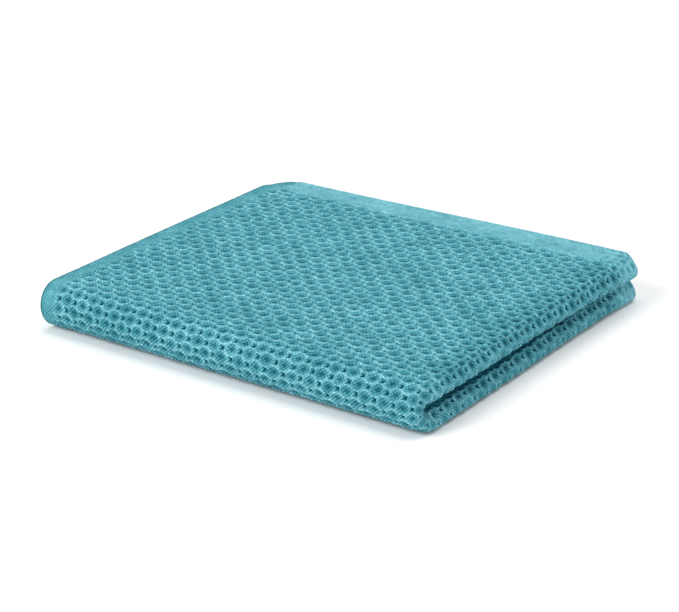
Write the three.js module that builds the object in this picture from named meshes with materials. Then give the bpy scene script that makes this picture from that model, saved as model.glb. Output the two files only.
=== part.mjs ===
import * as THREE from "three";

// A dishcloth of waffle cotton, folded in half and in half again, and laid flat.
// Millimetres, +Z up. +X runs along the front fold and +Y from the front fold to the end hems.
// The origin is under the middle of the folded cloth, on the surface that it rests on.

// The folded cloth
const FOLDED_WIDTH = 154;
const FOLDED_DEPTH = 142;
const FOLDED_HEIGHT = 16.8;
const HEIGHT_AT_HEM_CORNER = 14.2; // where the side hems meet the end hems
const HEIGHT_AT_FOLD_CORNER = 16.2; // where the side fold meets the end hems

// The cloth, measured over the ridges of its weave
const CLOTH_THICKNESS = 3.0;
const END_HEM_THICKNESS = 2.6;
const SIDE_HEM_THICKNESS = 2.6;
const END_HEM_WIDTH = 12;
const SIDE_HEM_WIDTH = 6;
const HEM_SLOPE = 6; // the width over which the weave flattens towards a hem
const SIDE_HEM_SINK = 0.5; // how much lower the side hem lies than the top
const CORNER_RADIUS = 6; // the cloth's own four corners, seen from above
const EDGE_BULGE = 0.7; // the roundness of a hem's outer edge

// The pitch from one layer to the next inside a folded pair, middle to middle
const PITCH_AT_FRONT = 3.9;
const PITCH_BEFORE_HEMS = 4.8;
const PITCH_AT_HEM_CORNER = 3.9;
const PITCH_AT_FOLD_CORNER = 4.9;

// How far each layer stops short of the folded size, at its side hem and at its end hem
const SETBACKS = {
  upperOuter: { side: 0, end: 0 },
  upperInner: { side: 1.6, end: 1.1 },
  lowerInner: { side: 1.3, end: 0.4 },
  lowerOuter: { side: 0.8, end: 0.7 },
};

// The side fold: the upper pair reaches a little past the lower pair, and both wander a little
const LOWER_FOLD_SETBACK = 0.2;
const FOLD_WANDER = 0.3;
const FOLD_WANDER_LENGTH = 22;
const FOLD_WANDER_LAG = 2; // radians from the lower pair's wander to the upper pair's
const FOLD_END_RADIUS = 6; // the side fold's end at the hems, seen from above
const FRONT_CORNER_PULL = 1.6; // how far the front fold draws the side fold's end inwards

// The top is slightly uneven, as soft cloth lies
const WAVE_DEPTH = 0.45;
const WAVE_LENGTH_ACROSS = 29;
const WAVE_LENGTH_ALONG = 24;
const WAVE_START_ACROSS = 0.4; // radians at the middle of the cloth
const WAVE_START_ALONG = 0.9;
const WAVE_FADE = 30; // the waves die out over this distance from the front fold

// Steps of the mesh: distances from a hem's edge, then even steps, then steps round each fold
const STEPS_FROM_SIDE_HEM = [0, 2, 4, 6, 8, 13];
const STEPS_FROM_END_HEM = [0, 2, 4, 6, 9, 13, 18, 24];
const EVEN_STEPS_ACROSS = 11;
const EVEN_STEPS_ALONG = 8;
const STEPS_ROUND_SIDE_FOLD = 8;
const STEPS_ROUND_FRONT_FOLD = 14;

const FACE = 1;
const REVERSE = -1;
const { lerp, smoothstep } = THREE.MathUtils;

const frontFoldY = -FOLDED_DEPTH / 2 + FOLDED_HEIGHT / 2;
const leafWidth = FOLDED_WIDTH - (PITCH_AT_FRONT + CLOTH_THICKNESS) / 2;
const leafDepth = FOLDED_DEPTH / 2 - frontFoldY;

/** How far round the front fold a bend is: 0 at the lower pair and 1 at the upper pair. */
function upperShare(bend) {
  return (1 + Math.sin(bend)) / 2;
}

/** How near the end hems a depth is: 0 in the field of the cloth and 1 at the hems' edge. */
function nearEndHems(y) {
  const edge = FOLDED_DEPTH / 2;
  return smoothstep(y, edge - END_HEM_WIDTH - HEM_SLOPE, edge - END_HEM_WIDTH / 4);
}

/** How near its side hem a point is: 0 in the field of the cloth and 1 on the hem. */
function nearSideHem(x) {
  const hem = -FOLDED_WIDTH / 2 + SIDE_HEM_WIDTH;
  return 1 - smoothstep(x, hem - HEM_SLOPE / 2, hem + HEM_SLOPE / 2);
}

/** The thickness of the cloth where it lies at x, y. */
function thicknessAt(x, y) {
  const beside = lerp(CLOTH_THICKNESS, SIDE_HEM_THICKNESS, nearSideHem(x));
  return lerp(beside, END_HEM_THICKNESS, nearEndHems(y));
}

/** A size along the end hems at x, between its values at the hem corner and at the fold corner. */
function alongEndHems(x, atHemCorner, atFoldCorner) {
  return lerp(atHemCorner, atFoldCorner, smoothstep(x, -FOLDED_WIDTH / 2, FOLDED_WIDTH / 2));
}

/** Half the pitch between the two layers of a pair, which is the side fold's radius. */
function halfPitchAt(x, y) {
  const inField = lerp(PITCH_AT_FRONT, PITCH_BEFORE_HEMS, smoothstep(y, frontFoldY, FOLDED_DEPTH / 2));
  const atHems = alongEndHems(x, PITCH_AT_HEM_CORNER, PITCH_AT_FOLD_CORNER);
  return lerp(inField, atHems, nearEndHems(y)) / 2;
}

/** How far the top surface lies under the folded height. */
function sinkAt(x, y) {
  const hemHeight = alongEndHems(x, HEIGHT_AT_HEM_CORNER, HEIGHT_AT_FOLD_CORNER);
  const atHems = (FOLDED_HEIGHT - hemHeight) * nearEndHems(y);
  const across = Math.sin(x / WAVE_LENGTH_ACROSS + WAVE_START_ACROSS);
  const wave = across * Math.cos(y / WAVE_LENGTH_ALONG + WAVE_START_ALONG);
  const fade = smoothstep(y, frontFoldY, frontFoldY + WAVE_FADE) * (1 - nearEndHems(y));
  return atHems + SIDE_HEM_SINK * nearSideHem(x) + (WAVE_DEPTH * fade * (1 + wave)) / 2;
}

/** How far the side fold stops short of the folded width, at a depth and a bend of the front fold. */
function foldSetbackAt(y, bend) {
  const upper = upperShare(bend);
  const wander = FOLD_WANDER * (1 + Math.sin(y / FOLD_WANDER_LENGTH + FOLD_WANDER_LAG * upper));
  const past = Math.max(0, y - (FOLDED_DEPTH / 2 - FOLD_END_RADIUS));
  const end = FOLD_END_RADIUS - Math.sqrt(FOLD_END_RADIUS ** 2 - past ** 2);
  const settled = LOWER_FOLD_SETBACK * (1 - upper) + wander * smoothstep(y, frontFoldY, 0);
  return settled + end + FRONT_CORNER_PULL * Math.cos(bend);
}

/** One layer's setback, blended between the four layers. */
function setbackAt(edge, upper, inner) {
  const outerLeaf = lerp(SETBACKS.lowerOuter[edge], SETBACKS.upperOuter[edge], upper);
  const innerLeaf = lerp(SETBACKS.lowerInner[edge], SETBACKS.upperInner[edge], upper);
  return EDGE_BULGE + lerp(outerLeaf, innerLeaf, inner);
}

/** Rounds the corner between a side hem and an end hem, by bending its square onto a quarter disc. */
function roundCorner(x, y, sideEdge, endEdge) {
  const across = (sideEdge + CORNER_RADIUS - x) / CORNER_RADIUS;
  const along = (y - endEdge + CORNER_RADIUS) / CORNER_RADIUS;
  if (across <= 0 || along <= 0) return [x, y];
  return [
    sideEdge + CORNER_RADIUS * (1 - across * Math.sqrt(1 - along ** 2 / 2)),
    endEdge - CORNER_RADIUS * (1 - along * Math.sqrt(1 - across ** 2 / 2)),
  ];
}

/** Shares of a leaf from its hem to its fold: the given distances first, then even steps. */
function sharesOf(distances, length, evenSteps) {
  const last = distances.at(-1);
  const even = Array.from({ length: evenSteps }, (_, i) => last + ((length - last) * (i + 1)) / evenSteps);
  return [...distances, ...even].map((distance) => distance / length);
}

/** Columns across the cloth: the outer leaf, the side fold, and the inner leaf back to its hem. */
function makeColumns() {
  const shares = sharesOf(STEPS_FROM_SIDE_HEM, leafWidth, EVEN_STEPS_ACROSS);
  const outer = shares.map((share) => ({ share, turn: 0 }));
  const fold = Array.from({ length: STEPS_ROUND_SIDE_FOLD - 1 }, (_, i) => ({
    share: 1,
    turn: (Math.PI * (i + 1)) / STEPS_ROUND_SIDE_FOLD,
  }));
  const inner = shares.toReversed().map((share) => ({ share, turn: Math.PI }));
  return [...outer, ...fold, ...inner];
}

/** Rows along the cloth: the lower pair, the front fold, and the upper pair back to the end hem. */
function makeRows() {
  const shares = sharesOf(STEPS_FROM_END_HEM, leafDepth, EVEN_STEPS_ALONG);
  const lower = shares.map((share) => ({ share, bend: -Math.PI / 2 }));
  const fold = Array.from({ length: STEPS_ROUND_FRONT_FOLD - 1 }, (_, i) => ({
    share: 1,
    bend: Math.PI * ((i + 1) / STEPS_ROUND_FRONT_FOLD - 0.5),
  }));
  const upper = shares.toReversed().map((share) => ({ share, bend: Math.PI / 2 }));
  return [...lower, ...fold, ...upper];
}

/** The point of one column and one row, on the face or the reverse of the cloth. */
function clothPoint(column, row, side) {
  const upper = upperShare(row.bend);
  const inner = (1 - Math.cos(column.turn)) / 2;
  const sideEdge = -FOLDED_WIDTH / 2 + setbackAt("side", upper, inner);
  const endEdge = FOLDED_DEPTH / 2 - setbackAt("end", upper, inner);
  const depth = lerp(endEdge, frontFoldY, row.share);
  const foldReach = halfPitchAt(FOLDED_WIDTH / 2, depth) + thicknessAt(FOLDED_WIDTH / 2, depth) / 2;
  const foldX = FOLDED_WIDTH / 2 - foldReach - foldSetbackAt(depth, row.bend);
  const across = lerp(sideEdge, foldX, column.share);
  const [x, y] = roundCorner(across, depth, sideEdge, endEdge);

  const thickness = thicknessAt(x, y);
  const halfPitch = halfPitchAt(x, y);
  const offset = halfPitch + (side * thickness) / 2;
  const bendRadius = FOLDED_HEIGHT / 2 - halfPitch - thickness / 2 - sinkAt(x, y) * upper;
  const radius = bendRadius + offset * Math.cos(column.turn);
  return new THREE.Vector3(
    x + offset * Math.sin(column.turn),
    y - radius * Math.cos(row.bend),
    FOLDED_HEIGHT / 2 + radius * Math.sin(row.bend),
  );
}

/** The cloth as one closed solid: its face, its reverse, and a rounded rim round all four hems. */
function makeCloth() {
  const columns = makeColumns();
  const rows = makeRows();
  const positions = [];
  const indices = [];
  const add = (point) => positions.push(point.x, point.y, point.z) / 3 - 1;
  const grids = [FACE, REVERSE].map((side) =>
    columns.map((column) => rows.map((row) => add(clothPoint(column, row, side)))),
  );
  const [face, reverse] = grids;
  const quad = (a, b, c, d) => indices.push(a, c, b, a, d, c);
  for (let i = 0; i + 1 < columns.length; i++) {
    for (let j = 0; j + 1 < rows.length; j++) {
      quad(face[i][j], face[i][j + 1], face[i + 1][j + 1], face[i + 1][j]);
      quad(reverse[i][j], reverse[i + 1][j], reverse[i + 1][j + 1], reverse[i][j + 1]);
    }
  }

  const lastColumn = columns.length - 1;
  const lastRow = rows.length - 1;
  const edge = [];
  for (let i = 0; i < lastColumn; i++) edge.push([i, 0]);
  for (let j = 0; j < lastRow; j++) edge.push([lastColumn, j]);
  for (let i = lastColumn; i > 0; i--) edge.push([i, lastRow]);
  for (let j = lastRow; j > 0; j--) edge.push([0, j]);
  const middle = ([i, j]) =>
    clothPoint(columns[i], rows[j], FACE).add(clothPoint(columns[i], rows[j], REVERSE)).multiplyScalar(0.5);
  const rim = edge.map(([i, j]) => {
    const inside = middle([
      THREE.MathUtils.clamp(i, 1, lastColumn - 1),
      THREE.MathUtils.clamp(j, 1, lastRow - 1),
    ]);
    const outermost = middle([i, j]);
    const outwards = outermost.clone().sub(inside).normalize();
    return add(outermost.addScaledVector(outwards, EDGE_BULGE));
  });
  edge.forEach(([i, j], k) => {
    const next = (k + 1) % edge.length;
    const [ni, nj] = edge[next];
    quad(face[i][j], face[ni][nj], rim[next], rim[k]);
    quad(rim[k], rim[next], reverse[ni][nj], reverse[i][j]);
  });

  const geometry = new THREE.BufferGeometry();
  geometry.setAttribute("position", new THREE.Float32BufferAttribute(positions, 3));
  geometry.setIndex(indices);
  geometry.computeVertexNormals();
  return geometry;
}

const cotton = new THREE.MeshStandardMaterial({ color: 0x5fa9b8, roughness: 0.95, metalness: 0 });
const cloth = new THREE.Mesh(makeCloth(), cotton);
cloth.name = "cloth";

const group = new THREE.Group();
group.add(cloth);

export default group;
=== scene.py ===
"""A folded waffle-weave dishcloth: its woven relief, hems and stitching, on a pale floor in soft light."""

import logging
import math
from dataclasses import dataclass
from enum import Enum
from typing import NamedTuple

import bpy
import numpy as np
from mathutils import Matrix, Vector


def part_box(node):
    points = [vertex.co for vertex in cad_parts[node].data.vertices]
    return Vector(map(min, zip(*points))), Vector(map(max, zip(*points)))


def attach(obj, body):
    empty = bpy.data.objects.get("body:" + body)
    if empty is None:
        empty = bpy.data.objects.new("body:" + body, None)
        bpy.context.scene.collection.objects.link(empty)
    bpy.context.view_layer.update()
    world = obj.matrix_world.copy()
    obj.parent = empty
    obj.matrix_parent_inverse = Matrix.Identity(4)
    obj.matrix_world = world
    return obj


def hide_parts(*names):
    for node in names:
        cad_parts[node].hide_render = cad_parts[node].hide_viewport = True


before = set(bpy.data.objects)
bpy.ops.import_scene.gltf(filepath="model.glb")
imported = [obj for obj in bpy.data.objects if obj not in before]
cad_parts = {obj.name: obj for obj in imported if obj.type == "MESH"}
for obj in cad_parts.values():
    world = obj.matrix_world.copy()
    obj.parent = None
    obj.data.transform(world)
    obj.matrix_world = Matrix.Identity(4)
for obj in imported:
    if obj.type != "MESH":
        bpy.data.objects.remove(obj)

logging.basicConfig(level=logging.INFO, format="%(message)s")
log = logging.getLogger("dishcloth")

MM = 0.001
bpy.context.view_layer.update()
Colour = tuple[float, float, float]


def blend(low: np.ndarray, high: np.ndarray, share: np.ndarray) -> np.ndarray:
    """Mixes low and high by a share from 0 to 1."""
    return low + (high - low) * share


def smooth_step(value: np.ndarray, start: float, end: float) -> np.ndarray:
    """Rises smoothly from 0 at start to 1 at end."""
    share = np.clip((value - start) / (end - start), 0.0, 1.0)
    return share * share * (3.0 - 2.0 * share)


def make_object(
    name: str,
    points: np.ndarray,
    faces: list[list[int]],
    material: bpy.types.Material,
    weave_map: np.ndarray | None = None,
) -> bpy.types.Object:
    """Makes an object of points and faces.

    Args:
        name: the object's name.
        points: its points, in metres.
        faces: the points round each face, as indices.
        material: its one material.
        weave_map: each point's place in the weave, in repeats. An object that has it is shaded smooth.

    Returns:
        The object, in the scene.
    """
    mesh = bpy.data.meshes.new(name)
    mesh.from_pydata(points, [], faces)
    if weave_map is not None:
        corner_points = np.empty(len(mesh.loops), dtype=np.int32)
        mesh.loops.foreach_get("vertex_index", corner_points)
        layer = mesh.uv_layers.new(name="weave")
        layer.data.foreach_set("uv", weave_map[corner_points].astype(np.float32).ravel())
        mesh.polygons.foreach_set("use_smooth", np.ones(len(mesh.polygons), dtype=bool))
    mesh.materials.append(material)
    mesh.update()
    made = bpy.data.objects.new(name, mesh)
    bpy.context.scene.collection.objects.link(made)
    return made


class Yarns(Enum):
    """The two ways that yarns run in the cloth. Each has its own place in the noise of the streaks."""

    ACROSS = 1
    ALONG = 0


class Step(Enum):
    """A step of arithmetic, by the name that a material's node has for it."""

    ADD = "ADD"
    SUBTRACT = "SUBTRACT"
    MULTIPLY = "MULTIPLY"
    DIVIDE = "DIVIDE"
    POWER = "POWER"
    SIZE = "ABSOLUTE"
    SIGN = "SIGN"
    LEAST = "MINIMUM"
    MOST = "MAXIMUM"
    ROUND = "ROUND"
    FLOOR = "FLOOR"
    EXPONENT = "EXPONENT"
    COSINE = "COSINE"


class Signal:
    """A number that a material's nodes work out. It takes plain arithmetic, as an array does."""

    def __init__(self, maths: "NodeMaths", socket: bpy.types.NodeSocket) -> None:
        """Keeps the output that gives the number, and the writer of further nodes."""
        self.maths = maths
        self.socket = socket

    def __add__(self, other: "Amount") -> "Signal":
        """The sum."""
        return self.maths.step(Step.ADD, self, other)

    def __sub__(self, other: "Amount") -> "Signal":
        """What is left when the other is taken away."""
        return self.maths.step(Step.SUBTRACT, self, other)

    def __rsub__(self, other: "Amount") -> "Signal":
        """What is left of the other."""
        return self.maths.step(Step.SUBTRACT, other, self)

    def __mul__(self, other: "Amount") -> "Signal":
        """The product."""
        return self.maths.step(Step.MULTIPLY, self, other)

    def __truediv__(self, other: "Amount") -> "Signal":
        """The number over the other."""
        return self.maths.step(Step.DIVIDE, self, other)

    def __rtruediv__(self, other: "Amount") -> "Signal":
        """The other over the number."""
        return self.maths.step(Step.DIVIDE, other, self)

    def __pow__(self, power: "Amount") -> "Signal":
        """A power, in which a square is a product and so takes numbers below 0."""
        return self * self if power == 2 else self.maths.step(Step.POWER, self, power)

    def __abs__(self) -> "Signal":
        """The number without its sign."""
        return self.maths.step(Step.SIZE, self)

    def __neg__(self) -> "Signal":
        """The number with its sign turned."""
        return self * -1.0

    __radd__ = __add__
    __rmul__ = __mul__


Amount = float | np.ndarray | Signal


class ArrayMaths:
    """Arithmetic on arrays, for the mesh, with the steps that the weave's plan takes."""

    functions = {
        Step.LEAST: np.minimum,
        Step.MOST: np.maximum,
        Step.ROUND: np.round,
        Step.FLOOR: np.floor,
        Step.EXPONENT: np.exp,
    }

    def step(self, kind: Step, *values: Amount) -> np.ndarray:
        """One step."""
        return self.functions[kind](*values)

    @staticmethod
    def rise(value: Amount, start: float, end: float, low: float = 0.0, high: float = 1.0) -> np.ndarray:
        """A smooth rise from low to high as value goes from start to end."""
        return blend(low, high, smooth_step(value, start, end))


class NodeMaths:
    """The same arithmetic in a material, where each step adds a node. It also ends the material."""

    def __init__(self, material: bpy.types.Material) -> None:
        """Empties the material's node tree and keeps it for writing."""
        material.use_nodes = True
        self.tree = material.node_tree
        self.tree.nodes.clear()

    def add(self, kind: str, **settings: object) -> bpy.types.Node:
        """Adds a node and sets its properties."""
        node = self.tree.nodes.new(f"ShaderNode{kind}")
        for name, value in settings.items():
            setattr(node, name, value)
        return node

    def feed(self, socket: bpy.types.NodeSocket, value: object) -> None:
        """Links a socket to a signal, or sets its own number or colour."""
        if isinstance(value, Signal):
            self.tree.links.new(value.socket, socket)
        else:
            socket.default_value = (*value, 1.0) if isinstance(value, tuple) else value

    def make(
        self, kind: str, inputs: dict[str | int, object], output: str | int = 0, **settings: object
    ) -> Signal:
        """Adds a node that gives one signal.

        Args:
            kind: the node's type.
            inputs: what its inputs take, by their name or number.
            output: the output that is used.
            settings: the node's properties.

        Returns:
            The output's signal.
        """
        node = self.add(kind, **settings)
        for name, value in inputs.items():
            self.feed(node.inputs[name], value)
        return Signal(self, node.outputs[output])

    def step(self, kind: Step, *values: Amount) -> Signal:
        """One step."""
        return self.make("Math", dict(enumerate(values)), operation=kind.value)

    def rise(
        self, value: Amount, start: float, end: float, low: Amount = 0.0, high: Amount = 1.0
    ) -> Signal:
        """A smooth rise from low to high as value goes from start to end."""
        names = ("Value", "From Min", "From Max", "To Min", "To Max")
        inputs = dict(zip(names, (value, start, end, low, high)))
        return self.make("MapRange", inputs, interpolation_type="SMOOTHSTEP")

    def mix(self, low: Amount, high: Amount, share: Amount) -> Signal:
        """Mixes two numbers by a share."""
        return self.make("Mix", {0: share, 2: low, 3: high}, data_type="FLOAT")

    def mix_colour(self, low: object, high: object, share: Amount, kind: str = "MIX") -> Signal:
        """Mixes two colours by a share."""
        return self.make("Mix", {0: share, 6: low, 7: high}, 2, data_type="RGBA", blend_type=kind)

    def vector(self, x: Amount, y: Amount, z: Amount = 0.0) -> Signal:
        """Joins numbers to a vector."""
        return self.make("CombineXYZ", {0: x, 1: y, 2: z})

    def noise(self, place: Signal, scale: float, detail: float = 2.0) -> Signal:
        """Soft noise, mostly between 0.3 and 0.7."""
        return self.make("TexNoise", {"Vector": place, "Scale": scale, "Detail": detail})

    def bump(self, height: Signal, distance: float, strength: float = 1.0) -> Signal:
        """The normal of a surface with small heights on it."""
        return self.make("Bump", {"Height": height, "Distance": distance, "Strength": strength})

    def end(self, colour: object, normal: Signal | None, constants: dict[str, object]) -> None:
        """Ends the material with its shader.

        Args:
            colour: the base colour, plain or as a signal.
            normal: the bumped normal, if the surface has one.
            constants: the values that are set on the shader's own sockets.
        """
        shader = self.add("BsdfPrincipled")
        self.feed(shader.inputs["Base Color"], colour)
        if normal is not None:
            self.feed(shader.inputs["Normal"], normal)
        for name, value in constants.items():
            self.feed(shader.inputs[name], value)
        self.tree.links.new(shader.outputs[0], self.add("OutputMaterial").inputs["Surface"])


@dataclass(frozen=True)
class ClothSizes:
    """The cloth's own sizes, in metres.

    The side hems lie at the cloth's left and right edges, and the end hems at its two ends. The
    setbacks say how far each of the four layers stops short of the folded size, listed as the
    lower outer, lower inner, upper inner and upper outer layer.
    """

    thickness: float = 3.1 * MM
    hem_thickness: float = 3.2 * MM
    end_hem: float = 12.0 * MM
    side_hem: float = 6.0 * MM
    hem_slope: float = 6.0 * MM
    end_hem_flat_from: float = 3.0 * MM
    side_hem_sink: float = 0.5 * MM
    corner_radius: float = 6.0 * MM
    edge_bulge: float = 0.8 * MM
    pitch_at_front: float = 3.9 * MM
    pitch_before_hems: float = 4.8 * MM
    pitch_at_hem_corner: float = 3.75 * MM
    pitch_at_fold_corner: float = 4.6 * MM
    hem_gap_share: float = 0.05
    hem_gap_slant: float = 0.8
    hem_gap_lengths: tuple[float, float] = (15.0 * MM, 6.1 * MM)
    height_at_hem_corner: float = 14.2 * MM
    height_at_fold_corner: float = 16.2 * MM
    side_setbacks: tuple[float, ...] = (0.8 * MM, 1.3 * MM, 1.6 * MM, 0.0)
    end_setbacks: tuple[float, ...] = (0.7 * MM, 0.4 * MM, 1.1 * MM, 0.0)
    lower_fold_setback: float = 0.2 * MM
    fold_wander: float = 0.3 * MM
    fold_wander_length: float = 22.0 * MM
    fold_wander_lag: float = 2.0
    fold_end_radius: float = 6.0 * MM
    front_corner_pull: float = 1.6 * MM
    wave_depth: float = 0.45 * MM
    wave_length_across: float = 29.0 * MM
    wave_length_along: float = 24.0 * MM
    wave_starts: tuple[float, float] = (0.4, 0.9)
    wave_fade: float = 30.0 * MM
    side_fold_sag: float = 0.5
    side_fold_loss: float = 0.5 / 7


class FoldedForm:
    """Carries points of the flat cloth to where they lie when it is folded.

    A point is given by its distance across the cloth, round the side fold, and its distance along
    the cloth, round the front fold. Both are measured over the cloth's outer surface.
    """

    def __init__(self, sizes: ClothSizes) -> None:
        """Takes the folded size from the frame.

        Args:
            sizes: the cloth's own sizes.
        """
        low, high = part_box("cloth")
        self.sizes = sizes
        self.width, self.depth, self.height = (high[axis] - low[axis] for axis in range(3))
        self.fold_radius = (sizes.pitch_at_front + sizes.thickness) / 2
        self.front_fold_y = -self.depth / 2 + self.height / 2
        self.leaf_width = self.width - self.fold_radius - sizes.edge_bulge
        self.leaf_depth = self.depth / 2 - self.front_fold_y - sizes.edge_bulge
        self.across_total = 2 * self.leaf_width + math.pi * self.fold_radius
        self.along_total = 2 * self.leaf_depth + math.pi * self.height / 2

    def near_end_hems(self, y: np.ndarray) -> np.ndarray:
        """How near the end hems a depth is, from 0 in the field to 1 at the hems' edge."""
        s, edge = self.sizes, self.depth / 2
        return smooth_step(y, edge - s.end_hem - s.hem_slope, edge - s.end_hem_flat_from)

    def near_side_hem(self, x: np.ndarray) -> np.ndarray:
        """How near its side hem a point is, from 0 in the field to 1 on the hem."""
        hem, half_slope = self.sizes.side_hem - self.width / 2, self.sizes.hem_slope / 2
        return 1 - smooth_step(x, hem - half_slope, hem + half_slope)

    def thickness_at(self, x: np.ndarray, y: np.ndarray) -> np.ndarray:
        """The thickness of the cloth where it lies at x, y."""
        beside = blend(self.sizes.thickness, self.sizes.hem_thickness, self.near_side_hem(x))
        return blend(beside, self.sizes.hem_thickness, self.near_end_hems(y))

    def along_end_hems(self, x: np.ndarray, at_hem: float, at_fold: float) -> np.ndarray:
        """A size along the end hems, between its values at the hem corner and at the fold corner."""
        return blend(at_hem, at_fold, smooth_step(x, -self.width / 2, self.width / 2))

    def half_pitch_at(self, x: np.ndarray, y: np.ndarray) -> np.ndarray:
        """Half the pitch between the two layers of a pair.

        Args:
            x: places across the folded cloth.
            y: places along it.

        Returns:
            Half pitches. They wander a little near the hems, where no weight presses the layers.
        """
        s = self.sizes
        towards_hems = smooth_step(y, self.front_fold_y, self.depth / 2)
        in_field = blend(s.pitch_at_front, s.pitch_before_hems, towards_hems)
        at_hems = self.along_end_hems(x, s.pitch_at_hem_corner, s.pitch_at_fold_corner)
        near_side = self.near_side_hem(x) * smooth_step(y, self.front_fold_y, 0.0)
        near = np.maximum(self.near_end_hems(y), near_side)
        run = x - s.hem_gap_slant * y
        wander = sum(np.sin(run / length + start) for start, length in enumerate(s.hem_gap_lengths))
        return blend(in_field, at_hems, self.near_end_hems(y)) * (1 + s.hem_gap_share * near * wander) / 2

    def sink_at(self, x: np.ndarray, y: np.ndarray) -> np.ndarray:
        """How far the top surface lies under the folded height.

        Args:
            x: places across the folded cloth.
            y: places along it.

        Returns:
            Depths: the lower hems, and the slow waves of the top.
        """
        s = self.sizes
        near_hems = self.near_end_hems(y)
        hem_height = self.along_end_hems(x, s.height_at_hem_corner, s.height_at_fold_corner)
        start_across, start_along = s.wave_starts
        wave = np.sin(x / s.wave_length_across + start_across)
        wave = wave * np.cos(y / s.wave_length_along + start_along)
        fade = smooth_step(y, self.front_fold_y, self.front_fold_y + s.wave_fade) * (1 - near_hems)
        at_hems = (self.height - hem_height) * near_hems
        return at_hems + s.side_hem_sink * self.near_side_hem(x) + s.wave_depth * fade * (1 + wave) / 2

    def fold_setback_at(self, y: np.ndarray, bend: np.ndarray, upper: np.ndarray) -> np.ndarray:
        """How far the side fold stops short of the folded width.

        Args:
            y: places along the folded cloth.
            bend: angles round the front fold.
            upper: 0 in the lower pair of layers and 1 in the upper pair.

        Returns:
            Distances across the cloth.
        """
        s = self.sizes
        wander = s.fold_wander * (1 + np.sin(y / s.fold_wander_length + s.fold_wander_lag * upper))
        past = np.maximum(0.0, y - (self.depth / 2 - s.fold_end_radius))
        end = s.fold_end_radius - np.sqrt(np.maximum(0.0, s.fold_end_radius**2 - past**2))
        settled = s.lower_fold_setback * (1 - upper) + wander * smooth_step(y, self.front_fold_y, 0.0)
        return settled + end + s.front_corner_pull * np.cos(bend)

    def setback(self, layers: tuple[float, ...], upper: np.ndarray, inner: np.ndarray) -> np.ndarray:
        """One layer's setback, blended between the four layers."""
        lower_outer, lower_inner, upper_inner, upper_outer = layers
        leaves = (blend(lower_outer, upper_outer, upper), blend(lower_inner, upper_inner, upper))
        return self.sizes.edge_bulge + blend(*leaves, inner)

    def round_corner(
        self, x: np.ndarray, y: np.ndarray, side_edge: np.ndarray, end_edge: np.ndarray
    ) -> tuple[np.ndarray, np.ndarray]:
        """Rounds the corner between a side hem and an end hem, bending its square onto a disc.

        Args:
            x: places across the folded cloth.
            y: places along it.
            side_edge: where the side hem ends.
            end_edge: where the end hem ends.

        Returns:
            The bent places across and along.
        """
        radius = self.sizes.corner_radius
        across = (side_edge + radius - x) / radius
        along = (y - end_edge + radius) / radius
        inside = (across > 0) & (along > 0)
        a, b = np.where(inside, across, 0.0), np.where(inside, along, 0.0)
        bent_x = side_edge + radius * (1 - a * np.sqrt(1 - b * b / 2))
        bent_y = end_edge - radius * (1 - b * np.sqrt(1 - a * a / 2))
        return np.where(inside, bent_x, x), np.where(inside, bent_y, y)

    def place(self, across: np.ndarray, along: np.ndarray, lift: np.ndarray) -> np.ndarray:
        """Where points of the cloth lie in the folded form.

        Args:
            across: distances across the cloth, from its outer side hem.
            along: distances along the cloth, from its lower end hem.
            lift: heights over the middle of the cloth's thickness, towards its face.

        Returns:
            The points, with x, y and z in the last axis.
        """
        s, width, depth, half_width = self.sizes, self.leaf_width, self.leaf_depth, self.width / 2
        turn = np.clip((across - width) / self.fold_radius, 0.0, math.pi)
        bend = np.clip((along - depth) / (self.height / 2), 0.0, math.pi) - math.pi / 2
        x_share = np.where(turn > 0, np.minimum(1.0, (self.across_total - across) / width), across / width)
        past_bend = bend > -math.pi / 2
        y_share = np.minimum(1.0, np.where(past_bend, (self.along_total - along) / depth, along / depth))
        upper = (1 + np.sin(bend)) / 2
        inner = (1 - np.cos(turn)) / 2

        side_edge = -half_width + self.setback(s.side_setbacks, upper, inner)
        end_edge = self.depth / 2 - self.setback(s.end_setbacks, upper, inner)
        far = blend(end_edge, self.front_fold_y, y_share)
        fold_reach = self.half_pitch_at(half_width, far) + self.thickness_at(half_width, far) / 2
        fold_x = half_width - fold_reach - self.fold_setback_at(far, bend, upper)
        x, y = self.round_corner(blend(side_edge, fold_x, x_share), far, side_edge, end_edge)

        half_pitch = self.half_pitch_at(x, y)
        offset = half_pitch + lift
        sag = 1 - s.side_fold_sag * np.cos(turn) * np.sin(bend) - s.side_fold_loss
        bend_radius = self.height / 2 - half_pitch - self.thickness_at(x, y) / 2 - self.sink_at(x, y) * upper
        radius = bend_radius + offset * np.cos(turn)
        placed = (
            x + offset * sag * np.sin(turn),
            y - radius * np.cos(bend),
            self.height / 2 + radius * np.sin(bend),
        )
        return np.stack(placed, axis=-1)

    def fold_span(self, way: Yarns) -> tuple[float, float]:
        """The middle of a fold and half its length, for the fold that yarns of one way run round."""
        if way is Yarns.ALONG:
            return self.along_total / 2, math.pi * self.height / 4
        return self.leaf_width + math.pi * self.fold_radius / 2, math.pi * self.fold_radius / 2

    def half_thickness(self, across: np.ndarray, along: np.ndarray) -> np.ndarray:
        """Half the cloth's thickness at a distance across and along it."""
        x = np.minimum(across, self.across_total - across) - self.width / 2
        return self.thickness_at(x, self.depth / 2 - np.minimum(along, self.along_total - along)) / 2


@dataclass(frozen=True)
class Wander:
    """A slow wave in which the weave wanders off its even grid, in metres and radians."""

    depth: float
    length: float
    length_beside: float = math.inf
    start: float = 0.0

    def at(self, run: np.ndarray, beside: np.ndarray) -> np.ndarray:
        """How far the weave is off, at distances on the wave's run and beside it."""
        return self.depth * np.sin(run / self.length + beside / self.length_beside + self.start)


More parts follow.
